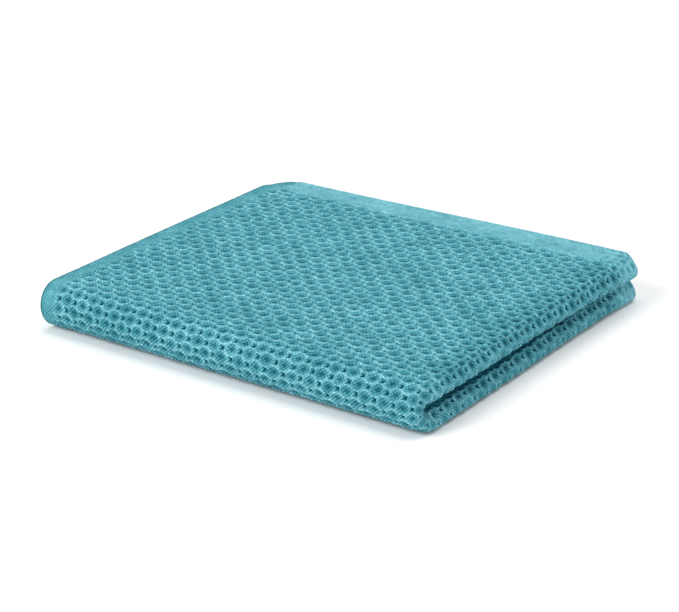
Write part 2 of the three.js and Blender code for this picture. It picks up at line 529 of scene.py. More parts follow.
@dataclass(frozen=True)
class WaffleWeave:
    """A honeycomb weave: round hollows in staggered rows, with a small pit between each four.

    Sizes are in metres. Those called reach are in repeats, first across the cloth and then along it.
    The hollows lie at the whole steps of two slanting counts, the sum and the difference of the
    repeats across and along, and the pits lie halfway between them. At the side fold the hollows are
    squarer and flatter, and the threads that run round it come out of the slanting lines.
    """

    repeat: float = 7.0 * MM
    depth: float = 1.25 * MM
    hollow_reach: tuple[float, float] = (0.345, 0.350)
    squash: float = 0.08
    squareness: float = 2.0
    bowl_power: float = 1.3
    rim_at: float = 1.0
    rim_width: float = 0.10
    rim_end: float = 1.2
    land_depth: float = 0.30 * MM
    side_rim_depth: float = 0.35 * MM
    pit_depth: float = 1.4 * MM
    pit_reach: tuple[float, float] = (0.115, 0.145)
    hem_relief: float = 0.10
    seam_depth: float = 0.25 * MM
    seam_width: float = 1.0 * MM
    side_seam: float = 4.4 * MM
    end_seam: float = 10.4 * MM
    side_field: tuple[float, float] = (4.2 * MM, 7.6 * MM)
    end_field: tuple[float, float] = (10.8 * MM, 17.2 * MM)
    unevenness: float = 0.14
    uneven_table: tuple[int, int] = (97, 89)
    shift: float = 0.22 * MM
    shift_step: float = 5.4 * MM
    shift_table: int = 64
    wander_across: tuple[Wander, ...] = (
        Wander(0.45 * MM, 19 * MM, start=0.7),
        Wander(0.20 * MM, 5.3 * MM, 31 * MM),
    )
    wander_along: tuple[Wander, ...] = (
        Wander(0.45 * MM, 23 * MM, start=1.9),
        Wander(0.20 * MM, 6.1 * MM, -27 * MM),
    )
    yarns: int = 10
    yarn_lean: float = 1.6
    yarn_least: float = 0.4
    yarn_dive: float = 0.5
    slants: tuple[float, float] = (0.75, 0.80)
    cross_slant: float = 0.40
    fold_rounds: float = 0.6
    fold_round_count: float = 1.4
    line_least: tuple[float, float] = (0.35, 0.10)
    line_span: tuple[float, float] = (-0.5, 0.6)
    top_span: tuple[float, float] = (-0.2, 0.2)
    pull: float = 0.5
    pull_fade: float = 12.0 * MM
    stretch: float = 0.45
    stretch_width: float = 2.6 * MM
    stretch_turn: float = 10.5 * MM
    upper_stretch_at: float = 0.70
    lower_stretch_at: float = 0.36
    seed: int = 11

    def shifts(self, across: np.ndarray, along: np.ndarray) -> np.ndarray:
        """How far the weave lies off its even grid, each hollow a little differently.

        Args:
            across: distances across the cloth.
            along: distances along the cloth.

        Returns:
            Shifts across and along, in metres, in the first axis.
        """
        size = self.shift_table
        table = np.random.default_rng(self.seed + 1).normal(0.0, self.shift, (2, size, size))
        x, y = across / self.shift_step, along / self.shift_step
        i, j = np.floor(x).astype(int), np.floor(y).astype(int)
        a, b = smooth_step(x - i, 0.0, 1.0), smooth_step(y - j, 0.0, 1.0)
        near, far = (
            blend(table[:, i % size, row % size], table[:, (i + 1) % size, row % size], a)
            for row in (j, j + 1)
        )
        return blend(near, far, b)

    def depths(self, row: np.ndarray, column: np.ndarray) -> np.ndarray:
        """The depth of each hollow, by its two counts."""
        rows, columns = self.uneven_table
        table = np.random.default_rng(self.seed).normal(0.0, self.unevenness, self.uneven_table)
        return self.depth * (1 + table[row.astype(int) % rows, column.astype(int) % columns])


class Cell(NamedTuple):
    """A point's offsets from its hollow and from its pit, in repeats, and its hollow's two counts."""

    u: Amount
    v: Amount
    pit_u: Amount
    pit_v: Amount
    row: Amount
    column: Amount


class Relief(NamedTuple):
    """What the relief is made of at a point.

    reach is 0 in a hollow's middle and 1 at its rim, and risen is the height there. past is 1 on the
    land outside the rims, aside is 1 straight beside a hollow, and pit is 1 in the middle of a pit.
    """

    reach: Amount
    risen: Amount
    past: Amount
    aside: Amount
    pit: Amount


class WeavePlan:
    """Where the weave, the hems and the folds' pull lie on the cloth.

    The same steps serve the mesh, on arrays, and the material, on its signals. Every method takes
    distances across and along the cloth, in metres.
    """

    def __init__(self, form: FoldedForm, weave: WaffleWeave, maths: ArrayMaths | NodeMaths) -> None:
        """Keeps the form, the weave and the arithmetic to use."""
        self.form = form
        self.weave = weave
        self.maths = maths

    def from_edges(self, across: Amount, along: Amount) -> tuple[Amount, Amount]:
        """The distances to the nearest side edge and to the nearest end."""
        places = ((across, self.form.across_total), (along, self.form.along_total))
        return tuple(self.maths.step(Step.LEAST, place, total - place) for place, total in places)

    def in_fields(self, across: Amount, along: Amount) -> tuple[Amount, Amount]:
        """1 inside the side hems and 0 on them, and the same for the end hems."""
        spans = (self.weave.side_field, self.weave.end_field)
        return tuple(self.maths.rise(off, *span) for off, span in zip(self.from_edges(across, along), spans))

    def field(self, across: Amount, along: Amount) -> Amount:
        """1 in the woven field, and 0 on the hems."""
        in_side_field, in_end_field = self.in_fields(across, along)
        return in_side_field * in_end_field

    def off_seams(self, across: Amount, along: Amount) -> tuple[Amount, Amount]:
        """The distances to the nearest side seam and to the nearest end seam."""
        from_side, from_end = self.from_edges(across, along)
        return abs(from_side - self.weave.side_seam), abs(from_end - self.weave.end_seam)

    def pull(self, across: Amount, along: Amount) -> Amount:
        """Which yarns the folds bring out: those along the cloth (+) or across it (-)."""
        pulls = []
        for way, place in ((Yarns.ALONG, along), (Yarns.ACROSS, across)):
            middle, half = self.form.fold_span(way)
            off = abs(place - middle)
            pulls.append(self.maths.rise(off, half, half + self.weave.pull_fade, 1.0, 0.0))
        return (pulls[0] - pulls[1]) * self.weave.pull

    def drawn(self, pull: Amount) -> Amount:
        """1 where the side fold draws the yarns out, and 0 away from it."""
        return self.maths.step(Step.MOST, pull / -self.weave.pull, 0.0)

    def stretch(self, across: Amount, along: Amount) -> Amount:
        """How far the side fold draws the hollows flat, in a band that lies lower in the lower pair."""
        form, weave = self.form, self.weave
        middle, turn = form.along_total / 2, weave.stretch_turn
        shares = (weave.lower_stretch_at, weave.upper_stretch_at)
        band = self.maths.rise(along, middle - turn, middle + turn, *shares)
        off = (across - form.leaf_width - math.pi * form.fold_radius * band) / weave.stretch_width
        return weave.stretch * self.maths.step(Step.EXPONENT, -(off**2))

    def cell(self, across: Amount, along: Amount) -> Cell:
        """Where points lie in the weave."""
        counts = ((across + along) / self.weave.repeat, (across - along) / self.weave.repeat)
        row, column = (self.maths.step(Step.ROUND, count) for count in counts)
        pit = (count - self.maths.step(Step.FLOOR, count) - 0.5 for count in counts)
        offsets = ((counts[0] - row, counts[1] - column), pit)
        ways = ((first + second, first - second) for first, second in offsets)
        return Cell(*(way / 2 for pair in ways for way in pair), row, column)

    def relief(self, cell: Cell, pull: Amount) -> Relief:
        """What the relief is made of.

        Args:
            cell: where the points lie in the weave.
            pull: which yarns the folds bring out there.

        Returns:
            The parts of the relief.
        """
        weave, tiny, small = self.weave, 1e-9, 1e-6
        wide = weave.hollow_reach[0] * (1 + weave.squash * pull)
        long = weave.hollow_reach[1] * (1 - weave.squash * pull)
        power = 2 + weave.squareness * self.drawn(pull)
        reach = (abs(cell.u / wide) ** power + abs(cell.v / long) ** power + tiny) ** (1 / power)
        risen = self.maths.step(Step.LEAST, reach, 1.0) ** weave.bowl_power
        past = self.maths.rise(reach, 1.0, weave.rim_end)
        aside = cell.u**2 / (cell.u**2 + cell.v**2 + small)
        off_pit = (cell.pit_u / weave.pit_reach[0]) ** 2 + (cell.pit_v / weave.pit_reach[1]) ** 2
        return Relief(reach, risen, past, aside, self.maths.step(Step.EXPONENT, -off_pit))

    def lowered(self, relief: Relief) -> Amount:
        """How far lands, the rims beside the hollows, and pits lie under the rims' top, in metres."""
        weave, beside = self.weave, relief.aside * relief.risen * (1 - relief.past)
        return relief.past * weave.land_depth + beside * weave.side_rim_depth + relief.pit * weave.pit_depth


@dataclass(frozen=True)
class CottonFinish:
    """Dyed cotton yarn: its colours in linear light, with painted shade in them, and how it takes light.

    A shade below 1 darkens and a shade above 1 lightens. The shades hold random tone, painted shade and
    painted highlight. Where the cotton is darker, by its random tone or by painted shade, it is also more
    saturated, so each of the three colour parts takes the shade to a power of its own, the lower of two
    results.
    Spans give where a rise starts and ends. Scales of noise are counts in a repeat of the weave.
    The inner colour isn't the dye's own: it is painted light, set to brighten the inner layers, because the
    gap at the side fold renders too dark and grey without it. A painted_gap_light_share of 0 takes it away.
    """

    # painted shade: the hollow and wall colours are darker than the rim's, so the colour itself darkens down
    # into the hollows
    hollow: Colour = (0.008, 0.110, 0.152)
    wall: Colour = (0.066, 0.275, 0.338)
    rim: Colour = (0.150, 0.400, 0.465)
    hem: Colour = (0.155, 0.420, 0.490)
    # painted light: the inner layers' colour, brightened so the gap at the side fold is less dark
    inner: Colour = (0.060, 0.480, 0.600)
    thread: Colour = (0.150, 0.470, 0.540)
    dark_powers: Colour = (2.0, 1.0, 0.90)
    light_powers: Colour = (1.55, 1.0, 0.95)
    wall_at: float = 0.38
    rim_at: float = 0.95
    painted_gap_light_share: float = 0.85
    painted_gap_light_from: float = 2.1 * MM
    hem_weave_share: float = 0.10
    stretched_relief: float = 0.8
    raised_span: tuple[float, float] = (0.05, 0.65)
    noise_span: tuple[float, float] = (0.3, 0.7)
    streak_span: tuple[float, float] = (0.25, 0.75)
    yarn_span: tuple[float, float] = (0.05, 0.95)
    rim_yarn_span: tuple[float, float] = (0.1, 0.8)
    # painted shade in the drawn-in grooves of the seams
    painted_groove_shade: float = 0.90
    # painted highlight along the rims
    painted_rim_highlights: tuple[float, float] = (0.42, 0.62)
    rim_side_loss: float = 0.35
    side_fold_rim_loss: float = 0.55
    # painted shade in the gaps between yarns and painted highlight on their tops, in the hollows, on the rims
    # and on the hems
    hollow_yarn_shades: tuple[float, float] = (0.38, 1.45)
    rim_yarn_shades: tuple[float, float] = (0.66, 1.10)
    hem_shades: tuple[float, float] = (0.79, 1.15)
    side_hem_shade: float = 0.70
    hollow_shades: tuple[float, float] = (0.88, 1.08)
    # painted shade in the hollows round the side fold, and a little painted light on its rims
    side_fold_painted_shades: tuple[float, float] = (0.64, 1.06)
    patch_shades: tuple[float, float] = (0.90, 1.10)
    hem_patch_shades: tuple[float, float] = (0.95, 1.05)
    patch_scale: float = 2.6
    cloud_shades: tuple[float, float] = (0.94, 1.06)
    cloud_scale: float = 0.35
    cloud_detail: float = 3.0
    speck_shades: tuple[float, float] = (0.90, 1.10)
    speck_scale: float = 11.0
    streaks: float = 0.20
    streak_steps: tuple[float, float] = (3.71, 2.2)
    hem_ribs: float = 5.0
    hem_rib_height: float = 0.3
    hem_yarns: int = 14
    hem_yarn_heights: tuple[float, float] = (0.3, 0.7)
    roughness: float = 0.95
    thread_roughness: float = 0.9
    specular: float = 0.12
    sheen: float = 0.15
    sheen_roughness: float = 0.5
    yarn_bump: float = 0.16
    relief_bump: float = 0.30
    lint_bump: float = 0.05
    twist_scale: float = 3000.0
    twist_shade: float = 0.8
    twist_bump: float = 0.3
    twist_depth: float = 0.1 * MM

    def constants(self, roughness: float, tint: Colour) -> dict[str, object]:
        """What is the same all over a cotton surface, by the names of the shader's sockets."""
        return {
            "Roughness": roughness,
            "Specular IOR Level": self.specular,
            "Sheen Weight": self.sheen,
            "Sheen Roughness": self.sheen_roughness,
            "Sheen Tint": tint,
        }


class CottonMaterial:
    """The material of the woven cloth. It follows the weave through the cloth's own map of repeats."""

    def __init__(self, form: FoldedForm, weave: WaffleWeave, finish: CottonFinish, name: str) -> None:
        """Starts the material, and works out where each point lies in the weave.

        Args:
            form: the folded form.
            weave: the weave's sizes.
            finish: the cotton's colours and shades.
            name: the material's name.
        """
        self.form, self.weave, self.finish = form, weave, finish
        self.material = bpy.data.materials.new(name)
        self.maths = NodeMaths(self.material)
        self.plan = WeavePlan(form, weave, self.maths)
        split = self.maths.add("SeparateXYZ")
        self.maths.feed(split.inputs[0], self.maths.make("UVMap", {}, uv_map="weave"))
        self.x, self.y = (Signal(self.maths, output) for output in split.outputs[:2])
        self.across, self.along = self.x * weave.repeat, self.y * weave.repeat
        self.field = self.plan.field(self.across, self.along)
        self.pull = self.plan.pull(self.across, self.along)
        self.drawn = self.plan.drawn(self.pull)
        self.cell = self.plan.cell(self.across, self.along)
        self.parts = self.plan.relief(self.cell, self.pull)

    def build(self) -> bpy.types.Material:
        """Makes the material.

        Returns:
            The material, ready to be put on the cloth.
        """
        maths, finish = self.maths, self.finish
        stretch = self.plan.stretch(self.across, self.along)
        relief = self.parts.risen - self.plan.lowered(self.parts) / self.weave.depth
        relief = maths.mix(relief, finish.stretched_relief, stretch)
        yarn, streak = self._yarns()
        specks = maths.noise(maths.vector(self.x, self.y), finish.speck_scale)
        shade = self._shade(relief, yarn, streak, specks)
        # the shade, with its painted shade and highlight, darkens or lightens the colour, and saturates it as
        # it darkens
        shades = (
            maths.step(Step.LEAST, *(shade**power for power in powers))
            for powers in zip(finish.dark_powers, finish.light_powers)
        )
        colour = maths.mix_colour(self._colour(relief), maths.vector(*shades), 1.0, "MULTIPLY")
        height = relief * self.field * finish.relief_bump + yarn * finish.yarn_bump
        normal = maths.bump(height + specks * finish.lint_bump, MM)
        maths.end(colour, normal, finish.constants(finish.roughness, finish.rim))
        return self.material

    def _colour(self, relief: Signal) -> Signal:
        """The colour before the other shades, with painted shade from the rims down into the hollows.

        Args:
            relief: the height, from 0 in a hollow to 1 on a rim.

        Returns:
            The colour by height with its painted shade, the painted light of the inner layers, and the hems'.
        """
        maths, finish = self.maths, self.finish
        # painted shade: the ramp darkens the colour from the rims down into the hollows
        ramp = maths.add("ValToRGB")
        maths.feed(ramp.inputs[0], relief)
        elements = ramp.color_ramp.elements
        elements.new(0.5)
        stops = ((0.0, finish.hollow), (finish.wall_at, finish.wall), (finish.rim_at, finish.rim))
        for element, (place, colour) in zip(elements, stops):
            element.position = place
            element.color = (*colour, 1.0)
        # painted light: the inner layers are lightened, so the gap at the side fold is less dark
        fold_end = self.form.leaf_width + math.pi * self.form.fold_radius
        inside = maths.rise(self.across, fold_end - finish.painted_gap_light_from, fold_end + finish.painted_gap_light_from)
        share = inside * self.field * finish.painted_gap_light_share
        colour = maths.mix_colour(Signal(maths, ramp.outputs[0]), finish.inner, share)
        return maths.mix_colour(finish.hem, colour, maths.mix(finish.hem_weave_share, 1.0, self.field))

    def _shade(self, relief: Signal, yarn: Signal, streak: Signal, specks: Signal) -> Signal:
        """All that darkens or lightens the colour: random tone, and painted shade and highlight.

        Args:
            relief: the height, from 0 in a hollow to 1 on a rim.
            yarn: the height of the yarns, from 0 to 1.
            streak: the noise that follows each yarn.
            specks: the finest noise.

        Returns:
            One shade, the product of them all.
        """
        maths, finish, field = self.maths, self.finish, self.field
        place = maths.vector(self.x, self.y)
        raised = maths.rise(relief, *finish.raised_span)
        shades = zip(finish.hem_shades, finish.hollow_yarn_shades, finish.rim_yarn_shades)
        yarn_shades = (maths.mix(hem, maths.mix(hollow, rim, raised), field) for hem, hollow, rim in shades)
        patch_shades = (
            maths.mix(hem, cloth, field) for hem, cloth in zip(finish.hem_patch_shades, finish.patch_shades)
        )
        clouds = maths.noise(place, finish.cloud_scale, finish.cloud_detail)
        chance = maths.make(
            "TexWhiteNoise",
            {"Vector": maths.vector(self.cell.row, self.cell.column)},
            "Value",
            noise_dimensions="2D",
        )
        # painted shade in the seam grooves
        shade = self._painted_groove_shade()
        for part in (
            maths.mix(1.0, finish.side_hem_shade, self._at_side_hems()),
            # painted shade between the yarns and painted highlight on their tops
            maths.rise(yarn, *finish.yarn_span, *yarn_shades),
            maths.rise(streak, *finish.streak_span, 1 - finish.streaks, 1 + finish.streaks),
            maths.rise(clouds, *finish.noise_span, *finish.cloud_shades),
            maths.rise(maths.noise(place, finish.patch_scale), *finish.noise_span, *patch_shades),
            maths.rise(specks, *finish.noise_span, *finish.speck_shades),
            maths.mix(*finish.hollow_shades, chance),
            # painted shade in the hollows round the side fold, and a little painted light on its rims
            maths.mix(1.0, maths.mix(*finish.side_fold_painted_shades, raised), self.drawn),
            # painted highlight along the rims
            1 + self._rim() * field * maths.rise(yarn, *finish.rim_yarn_span, *finish.painted_rim_highlights),
        ):
            shade = shade * part
        return shade

    def _painted_groove_shade(self) -> Signal:
        """Painted shade: darkens the drawn-in grooves of the seams."""
        offs, width = self.plan.off_seams(self.across, self.along), self.weave.seam_width
        share = self.maths.step(Step.MOST, *(self.maths.rise(off, 0.0, width, 1.0, 0.0) for off in offs))
        return self.maths.mix(1.0, self.finish.painted_groove_shade, share)

    def _rim(self) -> Signal:
        """The line of painted highlight along each rim, weaker beside the hollows and round the side fold."""
        off = (self.parts.reach - self.weave.rim_at) / self.weave.rim_width
        kept = 1 - self.finish.rim_side_loss * self.parts.aside
        kept = kept * (1 - self.finish.side_fold_rim_loss * self.drawn)
        return self.maths.step(Step.EXPONENT, -(off**2)) * kept

    def _at_side_hems(self) -> Signal:
        """1 on the side hems, and 0 away from them."""
        return 1 - self.plan.in_fields(self.across, self.along)[0]

    def _yarns(self) -> tuple[Signal, Signal]:
        """The yarns' height from 0 to 1, and a streak of light or dark that follows each yarn."""
        maths, weave = self.maths, self.weave
        woven, warp_on_top = self._weave_top()
        ways = ((Yarns.ACROSS, weave.yarns), (Yarns.ALONG, weave.yarns), (Yarns.ALONG, self.finish.hem_yarns))
        across, along, hem = (self._streak(way, count) for way, count in ways)
        streak = maths.mix(hem, maths.mix(across, along, warp_on_top), self.field)
        return maths.mix(self._hem_ribs(), woven, self.field), streak

    def _streak(self, way: Yarns, count: int) -> Signal:
        """Noise from 0 to 1 that is drawn out along each yarn of one way."""
        counted, run = (self.x, self.y) if way is Yarns.ALONG else (self.y, self.x)
        apart, drawn_out = self.finish.streak_steps
        yarn = self.maths.step(Step.FLOOR, counted * count)
        return self.maths.noise(self.maths.vector(yarn * apart, run * drawn_out, float(way.value)), 1.0, 1.0)

    def _hem_ribs(self) -> Signal:
        """The hems' slanting ribs from 0 to 1, each made of short fine stitches of yarn."""
        maths, finish = self.maths, self.finish
        slope = maths.step(Step.SIGN, 0.5 - self._at_side_hems())
        wave = maths.step(Step.COSINE, (self.x + self.y * slope) * (2 * math.pi * finish.hem_ribs))
        fine = abs(maths.step(Step.COSINE, self.x * (math.pi * finish.hem_yarns)))
        return wave * finish.hem_rib_height + maths.mix(*finish.hem_yarn_heights, fine)

    def _weave_top(self) -> tuple[Signal, Signal]:
        """The upper surface of yarns woven in slanting lines.

        Near a rim the yarns that run round the hollow come out, and at a fold those that run round it.

        Returns:
            The height from 0 to 1, and where the yarns along the cloth are on top.
        """
        maths, weave, drawn = self.maths, self.weave, self.drawn
        step = math.pi * weave.yarns
        ways = (self.x, self.y, self.x - self.y, self.x + self.y, self.y * weave.fold_round_count)
        warp, weft, slant, cross, rounds = (maths.step(Step.COSINE, way * step) for way in ways)
        warp, weft = (maths.mix(weave.yarn_least, 1.0, abs(wave)) for wave in (warp, weft))
        twill = slant * maths.mix(*weave.slants, drawn) + cross * maths.mix(weave.cross_slant, 0.0, drawn)
        twill = twill + rounds * drawn * weave.fold_rounds

        lean = (abs(self.cell.u) - abs(self.cell.v)) * (1 - self.parts.past) * (2 * weave.yarn_lean)
        bias = (lean + self.pull) * self.parts.risen
        warp_on_top = maths.rise(twill + bias, *weave.top_span)
        dive = maths.step(Step.MOST, 1 - abs(bias), 0.0) * weave.yarn_dive
        weft_top, warp_top = weft * (1 - dive * (1 - warp)), warp * (1 - dive * (1 - weft))
        line = maths.rise(twill, *weave.line_span, maths.mix(*weave.line_least, drawn), 1.0)
        return maths.mix(weft_top, warp_top, warp_on_top) * line, warp_on_top


class ThreadMaterial:
    """The sewing thread: the cloth's colour, a little lighter, with its twist as fine bump."""

    def __init__(self, finish: CottonFinish, name: str) -> None:
        """Starts the material, and keeps the cotton finish that the thread is matched to."""
        self.finish = finish
        self.material = bpy.data.materials.new(name)

    def build(self) -> bpy.types.Material:
        """Makes the thread's material.

        Returns:
            The material.
        """
        finish, maths = self.finish, NodeMaths(self.material)
        twist = maths.noise(maths.make("TexCoord", {}, "Object"), finish.twist_scale)
        darker = tuple(finish.twist_shade * part for part in finish.thread)
        colour = maths.mix_colour(darker, finish.thread, maths.rise(twist, *finish.noise_span))
        normal = maths.bump(twist, finish.twist_depth, finish.twist_bump)
        maths.end(colour, normal, finish.constants(finish.thread_roughness, finish.thread))
        return self.material


@dataclass(frozen=True)
class MeshSteps:
    """How the mesh is divided.

    hem, edge, hidden and reverse are the widths of coarser faces, in fine steps. Both hem and edge go
    evenly into hidden, and hidden into reverse. The margins and the smooth hem are in metres, the
    least last step is a share of a fine step, and the rim's angles are in degrees.
    """

    fine_per_repeat: int = 12
    hem: int = 2
    edge: int = 3
    hidden: int = 6
    reverse: int = 12
    roll_margin: float = 4.0 * MM
    fold_margin: float = 3.5 * MM
    smooth_hem: float = 8.75 * MM
    least_last: float = 0.4
    rim_angles: tuple[float, ...] = (50.0, 20.0, -15.0, -50.0)


@dataclass(frozen=True)
class Block:
    """A stretch of the cloth whose faces all have one size, in counts of fine steps."""

    columns: tuple[int, int]
    rows: tuple[int, int]
    step: int

    @staticmethod
    def ends(span: tuple[int, int], step: int) -> list[int]:
        """The counts at which the block's faces begin and end."""
        return [*range(span[0], span[1], step), span[1]]


class ClothGrid:
    """Where the mesh has points: close together where the cloth is seen, and wide where it is hidden."""

    def __init__(self, form: FoldedForm, repeat: float, steps: MeshSteps) -> None:
        """Divides the cloth.

        Args:
            form: the folded form.
            repeat: the length of one repeat of the weave, in metres.
            steps: how fine each stretch is.
        """
        self.steps = steps
        self.step = repeat / steps.fine_per_repeat
        self.columns = self._places(form.across_total)
        self.rows = self._places(form.along_total)
        self.last_column, self.last_row = len(self.columns) - 1, len(self.rows) - 1
        fold_end = form.leaf_width + math.pi * form.fold_radius
        self.roll = self._count(form.leaf_width - steps.roll_margin)
        self.inner = self._count(fold_end) + steps.hidden
        self.inner_hem = self._count(form.across_total - 2 * form.sizes.side_hem)
        self.front = self._count(form.leaf_depth - steps.fold_margin)
        self.end_hem = self._count(form.along_total - steps.smooth_hem)
        self.used = np.zeros((len(self.columns), len(self.rows)), dtype=bool)
        for block in self.blocks():
            corners = np.ix_(block.ends(block.columns, block.step), block.ends(block.rows, block.step))
            self.used[corners] = True
        self.index = np.where(self.used, np.cumsum(self.used).reshape(self.used.shape) - 1, -1)

    def _places(self, total: float) -> np.ndarray:
        """Distances at every fine step up to a total, and at the total itself."""
        return np.append(np.arange(0.0, total - self.steps.least_last * self.step, self.step), total)

    def _count(self, distance: float) -> int:
        """The count of fine steps at or before a distance, in whole hidden steps."""
        return int(distance / self.step) // self.steps.hidden * self.steps.hidden

    def blocks(self) -> list[Block]:
        """All stretches of the cloth.

        Returns:
            The blocks, which together cover the cloth once.
        """
        s = self.steps
        strip, last_column, last_row = s.hidden, self.last_column, self.last_row
        return [
            Block((0, strip), (self.front, last_row), s.hem),
            Block((strip, self.inner), (self.front, self.end_hem), 1),
            Block((strip, self.inner), (self.end_hem, last_row), s.hem),
            Block((self.roll, self.inner), (0, self.front), 1),
            Block((0, 2 * strip), (0, self.front), s.edge),
            Block((2 * strip, self.roll), (0, self.front), s.hidden),
            Block((self.inner, self.inner_hem), (0, last_row), s.hidden),
            Block((self.inner_hem, last_column), (0, last_row), s.edge),
        ]

    def faces(self) -> list[list[int]]:
        """The faces. A wide face takes in the points of finer faces beside it.

        Returns:
            The points round each face, as indices.
        """
        made = []
        for block in self.blocks():
            columns, rows = block.ends(block.columns, block.step), block.ends(block.rows, block.step)
            if block.step == 1:
                inner = self.index[columns[0] : columns[-1] + 1, rows[0] : rows[-1] + 1]
                corners = [inner[:-1, 1:], inner[1:, 1:], inner[1:, :-1], inner[:-1, :-1]]
                made += np.stack(corners, -1).reshape(-1, 4).tolist()
                continue
            for left, right in zip(columns, columns[1:]):
                made += [self._around(left, right, low, high) for low, high in zip(rows, rows[1:])]
        return made

    def _around(self, left: int, right: int, low: int, high: int) -> list[int]:
        """The points round one face."""
        index = self.index
        far, right_side = index[left:right, high], index[right, high:low:-1]
        near, left_side = index[right:left:-1, low], index[left, low:high]
        points = np.concatenate([far, right_side, near, left_side])
        return points[points >= 0].tolist()

    def border(self) -> np.ndarray:
        """The counts of the outermost points, one after the other, round the cloth."""
        last_column, last_row = self.last_column, self.last_row
        border = [(i, 0) for i in range(last_column)]
        border += [(last_column, j) for j in range(last_row)]
        border += [(i, last_row) for i in range(last_column, 0, -1)]
        border += [(0, j) for j in range(last_row, 0, -1)]
        return np.array([place for place in border if self.used[place]])

    def reverse_columns(self) -> np.ndarray:
        """The columns of the reverse, closer together at the side fold."""
        return self._thinned(self.last_column, self.roll, self.inner)

    def reverse_rows(self) -> np.ndarray:
        """The rows of the reverse, closer together at the front fold."""
        return self._thinned(self.last_row, self.front, self.last_row - self.front)

    def _thinned(self, last: int, fold_start: int, fold_end: int) -> np.ndarray:
        """Wide steps, with closer ones at a fold, and the last step."""
        steps = range(0, last, self.steps.hidden)
        kept = [k for k in steps if k % self.steps.reverse == 0 or fold_start <= k <= fold_end]
        return np.array([*kept, last])


